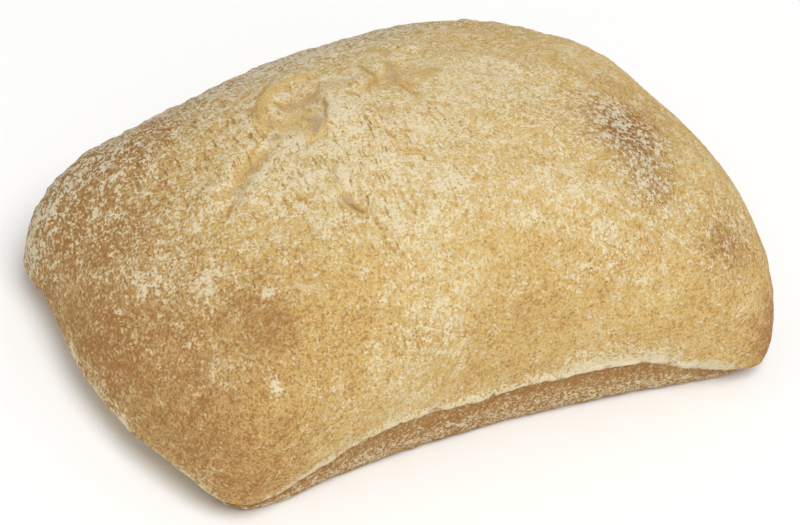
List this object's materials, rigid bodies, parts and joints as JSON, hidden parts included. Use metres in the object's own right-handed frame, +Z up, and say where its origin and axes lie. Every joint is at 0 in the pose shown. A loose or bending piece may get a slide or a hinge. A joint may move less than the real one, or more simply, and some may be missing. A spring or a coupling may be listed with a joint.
{
  "type": "ciabatta",
  "caption": "Small ciabatta loaf: a domed pillow of floured crust with blunt corners, a thin lip above a low band of lower crust, and a flat base.",
  "frame": {"origin": "middle of the loaf in plan, on its flat base", "axes": "+Z up, +X along the loaf, +Y towards its back; the long side with the high lip faces -Y"},
  "size_m": [0.123, 0.0952, 0.0435],
  "materials": {
    "floured_crust": "matte baked crust dusted with flour"
  },
  "bodies": {
    "root": {"ciabatta": "floured_crust"}
  },
  "joints": []
}
